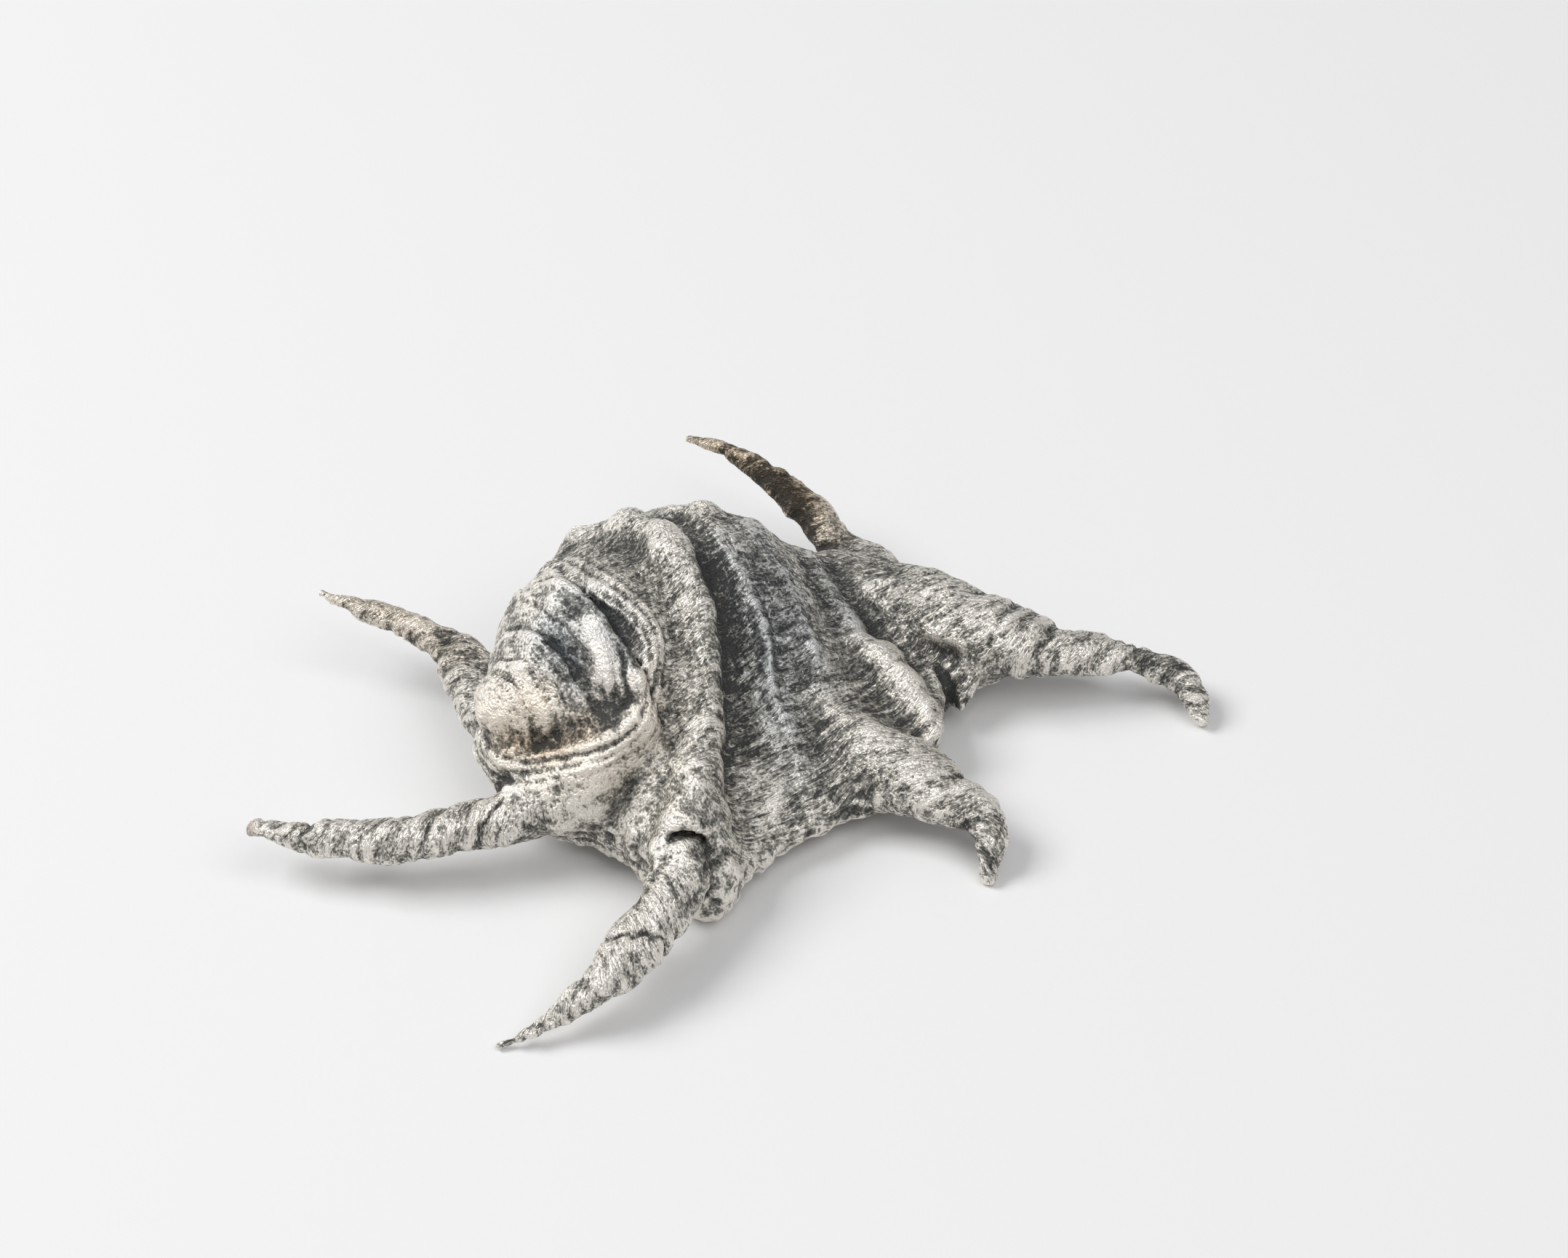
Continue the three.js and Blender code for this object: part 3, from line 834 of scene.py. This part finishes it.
# where the tarnish is bluish, and where it is brownish: x, y, z, width, amount
BLUE_CAST = {
    "whorl": [(-46, 3, 50, 5, 0.8), (-42, -3, 48, 6, 1), (-40, -9, 44, 5, 0.8)],
    "whorl_top": [(-40, 10, 54, 5, 0.6), (-31, 1, 55, 5, 0.6), (-27, -6, 51, 4, 0.5)],
    "middle": [(-3, 27, 55, 6, 0.5), (7, 11, 40, 8, 0.7), (10, -2, 29, 8, 0.6), (14, -14, 20, 7, 0.3)],
    "middle_right": [(6, 36, 50, 7, 0.5), (14, 24, 40, 8, 0.6), (20, 12, 32, 7, 0.5)],
    "front_ribs": [(22, 44, 32, 6, 0.4), (29, 31, 27, 7, 0.5)],
}
BROWN_CAST = {
    "canal": [(-14, 92, 33, 4, 0.5), (0, 87, 30, 6, 0.9), (13, 78, 26, 7, 1), (22, 71, 18, 6, 0.6)],
    "spire": [(-62, -10, 34, 7, 0.3), (-52, -11, 38, 7, 0.4), (-40, -10, 44, 6, 0.3)],
    "whorl_foot": [(-56, -16, 30, 4, 0.6), (-46, -19, 33, 4, 0.7), (-36, -18, 38, 4, 0.6)],
    "ramp": [(-44, -27, 28, 7, 0.15), (-26, -25, 34, 8, 0.2), (-18, -12, 44, 8, 0.2)],
    "posterior": [(-70, 22, 21, 6, 0.3), (-88, 37, 21, 6, 0.4), (-104, 40, 25, 5, 0.3)],
}


def bare_shell(growth):
    """1 where the silver stops: the broken left tip and the inside of the aperture."""
    run = growth.finger[:, 0] - FINGER_SPACING * list(FINGERS).index("left")
    on_left = np.abs(run - FINGER_SPACING / 4) < FINGER_SPACING / 2
    tip = ease(run, 96.5, 97.5) * on_left * growth.finger_share
    inside = ease(1.2 - hollow_field(growth.points, APERTURE), 0, 1) * ease(growth.points[:, 2], 0.5, 2)
    return np.maximum(tip, inside)


# ---- Settings that a user would change ----
def linear(hex_colour):
    """An sRGB hex value as linear red, green and blue."""
    parts = [int(hex_colour[i:i + 2], 16) / 255 for i in (1, 3, 5)]
    return tuple(c / 12.92 if c <= 0.04045 else ((c + 0.055) / 1.055) ** 2.4 for c in parts)


def colour_setting(name, description, hex_colour):
    return FloatVectorProperty(
        name=name, description=description, default=linear(hex_colour), subtype="COLOR", min=0, max=1,
    )


def length_setting(name, description, usual, least, most):
    """A length, given here in millimetres."""
    return FloatProperty(
        name=name, description=description, default=usual * MM, min=least * MM, max=most * MM,
        subtype="DISTANCE", unit="LENGTH",
    )


class ShellSettings(bpy.types.PropertyGroup):
    cell: length_setting("Mesh fineness", "Width of one mesh face", 0.81, 0.5, 4)
    cord_spacing: length_setting(
        "Cord spacing", "Distance between the cords that run to the lip's edge", 2.8, 1, 8
    )
    wrinkle_size: length_setting("Wrinkle width", "Width of one growth wrinkle", 1.5, 1, 8)
    polished: colour_setting("Polished silver", "Silver where it is rubbed bright", "#FDF8EF")
    dull: colour_setting("Dull silver", "Silver with a thin warm tarnish", "#9A978F")
    tarnished: colour_setting(
        "Tarnished silver", "Silver with a thick grey tarnish in the hollows", "#494948"
    )
    blued: colour_setting("Blue cast", "Tint of the silver where its tarnish is bluish", "#D3DDEA")
    browned: colour_setting("Brown cast", "Tint of the silver where its tarnish is brownish", "#E6D2B9")
    porcelain: colour_setting("Bare shell", "The natural shell where no silver covers it", "#CFC0B2")


class StageSettings(bpy.types.PropertyGroup):
    elevation: FloatProperty(
        name="Camera elevation", description="Angle of the camera above the floor",
        default=math.radians(45), subtype="ANGLE", unit="ROTATION",
    )
    distance: FloatProperty(
        name="Camera distance", description="From the camera to the point it looks at",
        default=0.971, min=0.2, subtype="DISTANCE", unit="LENGTH",
    )
    lens: FloatProperty(
        name="Focal length", description="Lens of the camera, in millimetres",
        default=85, min=20, max=300, subtype="NONE",
    )
    paper: colour_setting("Floor", "Colour of the pale matt floor", "#ECECEC")
    key_power: FloatProperty(
        name="Key light", description="Power of the big soft light above",
        default=46, min=0, subtype="POWER", unit="POWER",
    )
    sky: FloatProperty(
        name="Room light", description="Strength of the even light of the room",
        default=0.36, min=0, max=5,
    )


# ---- Materials ----
def add_node(tree, kind, inputs=None, **settings):
    """Adds a node: an input is given a value, or another node's output to link to."""
    made = tree.nodes.new(kind)
    for name, value in settings.items():
        setattr(made, name, value)
    for name, value in (inputs or {}).items():
        if isinstance(value, bpy.types.NodeSocket):
            tree.links.new(value, made.inputs[name])
        else:
            made.inputs[name].default_value = value
    return made


def new_material(name):
    material = bpy.data.materials.new(name)
    material.use_nodes = True
    material.node_tree.nodes.clear()
    return material


def vertex_data(tree, name):
    return add_node(tree, "ShaderNodeAttribute", attribute_name=name).outputs["Vector"]


def vertex_parts(tree, name):
    """The three numbers that a vertex carries under one name."""
    return add_node(tree, "ShaderNodeSeparateXYZ", {0: vertex_data(tree, name)}).outputs


def worked_out(tree, operation, *values):
    return add_node(tree, "ShaderNodeMath", dict(enumerate(values)), operation=operation).outputs[0]


def carried_over(tree, value, *ranges):
    """A value carried over from one range to another: low, high, new low, new high."""
    inputs = dict(enumerate((value, *ranges)))
    return add_node(tree, "ShaderNodeMapRange", inputs).outputs[0]


def weighted(tree, terms):
    """Sum of outputs, each times its own number."""
    total = 0.0
    for output, weight in terms:
        total = worked_out(tree, "MULTIPLY_ADD", output, weight, total)
    return total


def stretched_noise(tree, flow, size, detail=2.0, distortion=0.0):
    """Noise from about -0.5 to 0.5 whose lumps have the given sizes in millimetres."""
    spot = add_node(tree, "ShaderNodeVectorMath", {0: flow, 1: size}, operation="DIVIDE").outputs[0]
    settings = {"Vector": spot, "Scale": 1.0, "Detail": detail, "Distortion": distortion}
    noise = add_node(tree, "ShaderNodeTexNoise", settings).outputs[0]
    return worked_out(tree, "SUBTRACT", noise, 0.5)


def crease_lines(tree, flow, size):
    """Thin wandering lines, drawn out along the flow's larger sizes: 0.7 on a line, -0.3 off it."""
    depth = worked_out(tree, "ABSOLUTE", stretched_noise(tree, flow, size, 2.0, 0.4))
    return carried_over(tree, depth, 0.0, 0.05, 0.7, -0.3)


def shared(tree, values, shares):
    """The first value, given way to each later one by its share."""
    result = values[0]
    for value, share in zip(values[1:], shares):
        result = add_node(
            tree, "ShaderNodeMix", {0: share, 2: result, 3: value}, data_type="FLOAT"
        ).outputs[0]
    return result


# sizes of the marks that run the same way everywhere, in millimetres
GRIT_SIZE = 0.75
PIT_SIZE = 1.6
SPOT_SIZE = 3.2
CLOUD_SIZE = 9.0
BUMP_HEIGHT = 0.55


def surface_pattern(tree):
    """Height of the finest relief, larger clouds and spots of tarnish, and the vertex's region.

    The real grit and pits are finer than this: they are drawn coarser, so that they still show when
    the whole shell is in view."""
    back, finger, spire = (
        vertex_data(tree, name) for name in ("back_flow", "finger_flow", "spire_flow")
    )
    region = vertex_parts(tree, "region")
    spot = add_node(tree, "ShaderNodeTexCoord").outputs["Object"]
    spot = add_node(tree, "ShaderNodeVectorMath", {0: spot, "Scale": 1 / MM}, operation="SCALE").outputs[0]
    grit, pits, clouds, spots = (
        stretched_noise(tree, spot, (size,) * 3, detail)
        for size, detail in ((GRIT_SIZE, 4.0), (PIT_SIZE, 1.0), (CLOUD_SIZE, 3.0), (SPOT_SIZE, 2.0))
    )
    # on the back, growth lines about 1.5 mm apart cross streaks that run to the lip's edge
    creases = crease_lines(tree, back, (6.0, 1.5, 9.0))
    ridges = crease_lines(tree, back, (4.5, 1.2, 7.0))
    lines = stretched_noise(tree, back, (4.0, 0.75, 6.0), 4.0, 0.5)
    streaks = stretched_noise(tree, back, (0.8, 9.0, 6.0), 3.0, 0.3)
    on_back = weighted(tree, [
        (creases, -0.22), (ridges, 0.3), (lines, 0.65), (streaks, 0.3), (pits, 0.25), (grit, 0.95),
    ])
    # on a finger, wrinkles wrap round it between small pits
    creases = crease_lines(tree, finger, (1.6, 5.0, 5.0))
    ridges = crease_lines(tree, finger, (1.2, 4.0, 4.0))
    wrinkles = stretched_noise(tree, finger, (0.75, 3.0, 3.0), 4.0, 1.0)
    on_finger = weighted(tree, [
        (creases, -0.22), (ridges, 0.3), (wrinkles, 0.75), (pits, 0.4), (grit, 0.95),
    ])
    # on the spire, faint folds run along each whorl
    folds = stretched_noise(tree, spire, (0.7, 4.0, 20.0), 3.0, 0.5)
    on_spire = weighted(tree, [(folds, 0.5), (pits, 0.3), (grit, 1.2)])
    height = shared(tree, [on_back, on_spire, on_finger], [region[1], region[0]])
    return height, clouds, spots, region


def silver_material(look):
    """Fine silver, electroformed over a real shell, oxidised and rubbed back.

    The eye sees a soft warm-white metal on every crest, and matt grey tarnish in every hollow. Painted shade
    also darkens the broad hollows and some faces turned from the light, and painted light brightens the
    ramp."""
    material = new_material("aged_silver_electroformed")
    tree = material.node_tree
    height, clouds, spots, region = surface_pattern(tree)
    fine_form, broad_form, rubbed = vertex_parts(tree, "form")
    # broad_form darkens broad hollows and lightens broad swells: tarnish, plus painted shade like ambient
    # occlusion. rubbed adds the tarnish table, with its painted shade and painted light.
    tone = weighted(tree, [
        (height, 1.2), (region[0], -0.08), (fine_form, 0.75), (broad_form, 0.15),
        (rubbed, 0.48), (clouds, 0.5), (spots, 0.42),
    ])
    tone = worked_out(tree, "ADD", tone, 0.5)
    ramp = add_node(tree, "ShaderNodeValToRGB", {0: tone})
    stops = ((0.12, look.tarnished), (0.47, look.dull), (0.78, look.polished))
    for number, (place, colour) in enumerate(stops):
        stop = ramp.color_ramp.elements[number] if number < 2 else ramp.color_ramp.elements.new(place)
        stop.position = place
        stop.color = (*colour, 1)
    colour = ramp.outputs[0]
    for share, tint in zip(vertex_parts(tree, "cast"), (look.blued, look.browned)):
        colour = add_node(
            tree, "ShaderNodeMix", {0: share, 6: colour, 7: (*tint, 1)},
            data_type="RGBA", blend_type="MULTIPLY",
        ).outputs[2]
    # a thick tarnish is rougher and less like metal than the rubbed silver
    polish = carried_over(tree, tone, 0.15, 0.75, 0.0, 1.0)
    rough = worked_out(tree, "ADD", weighted(tree, [(polish, -0.24), (spots, 0.2)]), 0.62)
    metallic = carried_over(tree, polish, 0.0, 1.0, 0.5, 0.8)
    bump = add_node(
        tree, "ShaderNodeBump", {"Height": height, "Strength": 1.0, "Distance": BUMP_HEIGHT * MM}
    )
    silver = add_node(tree, "ShaderNodeBsdfPrincipled", {
        "Base Color": colour, "Metallic": metallic, "Roughness": rough,
        "Normal": bump.outputs[0],
    })
    shell = add_node(tree, "ShaderNodeBsdfPrincipled", {
        "Base Color": (*look.porcelain, 1), "Roughness": 0.45, "IOR": 1.53,
        "Normal": bump.outputs[0],
    })
    mixed = add_node(
        tree, "ShaderNodeMixShader", {0: region[2], 1: silver.outputs[0], 2: shell.outputs[0]}
    )
    add_node(tree, "ShaderNodeOutputMaterial", {0: mixed.outputs[0]})
    return material


def paper_material(stage):
    """Matt white background paper: the eye sees an even pale grey with the faintest grain."""
    material = new_material("matt_background_paper")
    tree = material.node_tree
    spot = add_node(tree, "ShaderNodeTexCoord").outputs["Object"]
    grain = add_node(tree, "ShaderNodeTexNoise", {"Vector": spot, "Scale": 900.0, "Detail": 2.0})
    bump = add_node(
        tree, "ShaderNodeBump",
        {"Height": grain.outputs[0], "Strength": 0.3, "Distance": 0.1 * MM},
    )
    paper = add_node(tree, "ShaderNodeBsdfPrincipled", {
        "Base Color": (*stage.paper, 1), "Roughness": 0.9, "Normal": bump.outputs[0],
    })
    add_node(tree, "ShaderNodeOutputMaterial", {0: paper.outputs[0]})
    return material


# ---- The shell and its stage ----
def mesh_object(name, vertices, quads):
    mesh = bpy.data.meshes.new(name)
    mesh.vertices.add(len(vertices))
    mesh.vertices.foreach_set("co", vertices.astype(np.float32).ravel())
    mesh.loops.add(quads.size)
    mesh.loops.foreach_set("vertex_index", quads.astype(np.int32).ravel())
    mesh.polygons.add(len(quads))
    mesh.polygons.foreach_set("loop_start", np.arange(len(quads), dtype=np.int32) * 4)
    mesh.update(calc_edges=True)
    mesh.validate()
    mesh.shade_smooth()
    made = bpy.data.objects.new(name, mesh)
    bpy.context.scene.collection.objects.link(made)
    return made


def set_attribute(mesh, name, vectors):
    attribute = mesh.attributes.new(name, "FLOAT_VECTOR", "POINT")
    attribute.data.foreach_set("vector", np.asarray(vectors, np.float32).ravel())


# rounds of smoothing against which a vertex counts as proud of its surroundings
FINE_ROUNDS = 6
BROAD_ROUNDS = 60


class SHELL_OT_grow(bpy.types.Operator):
    """Grow the shell over the CAD body and cover it in aged silver"""

    bl_idname = "mesh.grow_spider_conch"
    bl_label = "Grow the shell"

    def execute(self, context):
        look = context.scene.conch_shell
        cell = look.cell / MM
        values, low = field_grid(cell)
        vertices, quads = skin_quads(values, low, cell)
        normals = skin_normals(vertices, quads)
        growth = Growth(vertices)
        height = fine_height(growth, look.cord_spacing / MM, look.wrinkle_size / MM)
        vertices = vertices + normals * height[:, None]
        vertices[:, 2] = np.maximum(vertices[:, 2], 0)
        normals = skin_normals(vertices, quads)
        fine = relief(vertices, normals, quads, FINE_ROUNDS)
        broad = relief(vertices, normals, quads, BROAD_ROUNDS)
        shell = mesh_object("silver_conch", (vertices + FIELD_ORIGIN) * MM, quads)
        # rubbed: tarnish and rubbed bright places, with painted shade and painted light from the tarnish
        # table; blue and brown: casts of the tarnish
        rubbed, blue, brown = (
            stroke_total(vertices, strokes, COLOUR_REACH) for strokes in (PATINA_AND_PAINTED_SHADING, BLUE_CAST, BROWN_CAST)
        )
        for name, vectors in {
            "back_flow": growth.back,
            "finger_flow": growth.slanted,
            "spire_flow": growth.spire,
            "region": np.stack([growth.finger_share, growth.spire_share, bare_shell(growth)], 1),
            "form": np.stack([fine, broad, rubbed], 1),
            "cast": np.clip(np.stack([blue, brown, blue * 0], 1), 0, 1),
        }.items():
            set_attribute(shell.data, name, vectors)
        shell.data.materials.append(silver_material(look))
        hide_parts("shell")
        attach(shell, "root")
        return {"FINISHED"}


def area_light(name, place, target, size, power):
    light = bpy.data.lights.new(name, "AREA")
    light.size = size
    light.energy = power
    made = bpy.data.objects.new(name, light)
    made.location = place
    made.rotation_euler = (Vector(target) - Vector(place)).to_track_quat("-Z", "Y").to_euler()
    bpy.context.scene.collection.objects.link(made)


# the stage, in metres: half the floor's width, then where the lights and the camera are and look
FLOOR_REACH = 4.0
KEY_PLACE = (-1.7, 0.3, 2.0)
KEY_SIZE = 1.3
OVERHEAD_PLACE = (0.9, -0.7, 2.1)
OVERHEAD_TARGET = (0, -0.3, 0)
OVERHEAD_SIZE = 1.8
OVERHEAD_SHARE = 0.42
CAMERA_TARGET = (0.0106, 0.0505, 0)
ROOM_COLOUR = "#F2F2F4"


class SHELL_OT_stage(bpy.types.Operator):
    """Lay the pale floor, hang the lights and set up the camera"""

    bl_idname = "scene.stage_spider_conch"
    bl_label = "Set the stage"

    def execute(self, context):
        stage = context.scene.conch_stage
        scene = context.scene
        scene.view_settings.view_transform = "Standard"
        corners = np.array([(-1, -1, 0), (1, -1, 0), (1, 1, 0), (-1, 1, 0)]) * FLOOR_REACH
        floor = mesh_object("floor", corners, np.array([[0, 1, 2, 3]]))
        floor.data.materials.append(paper_material(stage))
        area_light("key", KEY_PLACE, (0, 0, 0), KEY_SIZE, stage.key_power)
        power = stage.key_power * OVERHEAD_SHARE
        area_light("overhead", OVERHEAD_PLACE, OVERHEAD_TARGET, OVERHEAD_SIZE, power)
        world = bpy.data.worlds.new("soft_white_room")
        world.use_nodes = True
        world.node_tree.nodes.clear()
        light = add_node(
            world.node_tree, "ShaderNodeBackground", {0: (*linear(ROOM_COLOUR), 1), 1: stage.sky}
        )
        add_node(world.node_tree, "ShaderNodeOutputWorld", {0: light.outputs[0]})
        scene.world = world
        camera = bpy.data.objects.new("camera", bpy.data.cameras.new("camera"))
        camera.data.lens = stage.lens
        back = Vector((0, -math.cos(stage.elevation), math.sin(stage.elevation)))
        camera.location = Vector(CAMERA_TARGET) + back * stage.distance
        camera.rotation_euler = (-back).to_track_quat("-Z", "Y").to_euler()
        scene.collection.objects.link(camera)
        scene.camera = camera
        return {"FINISHED"}


class SHELL_PT_panel(bpy.types.Panel):
    bl_idname = "SHELL_PT_panel"
    bl_label = "Spider Conch Shell"
    bl_space_type = "VIEW_3D"
    bl_region_type = "UI"
    bl_category = "Shell"

    def draw(self, context):
        layout = self.layout
        for settings, operator in (
            (context.scene.conch_shell, SHELL_OT_grow),
            (context.scene.conch_stage, SHELL_OT_stage),
        ):
            box = layout.box()
            for name in settings.__annotations__:
                box.prop(settings, name)
            box.operator(operator.bl_idname)


CLASSES = (ShellSettings, StageSettings, SHELL_OT_grow, SHELL_OT_stage, SHELL_PT_panel)


def register():
    for made in CLASSES:
        bpy.utils.register_class(made)
    bpy.types.Scene.conch_shell = PointerProperty(type=ShellSettings)
    bpy.types.Scene.conch_stage = PointerProperty(type=StageSettings)


def unregister():
    del bpy.types.Scene.conch_shell
    del bpy.types.Scene.conch_stage
    for made in reversed(CLASSES):
        bpy.utils.unregister_class(made)


def main():
    register()
    bpy.ops.mesh.grow_spider_conch()
    bpy.ops.scene.stage_spider_conch()


if __name__ == "__main__":
    main()
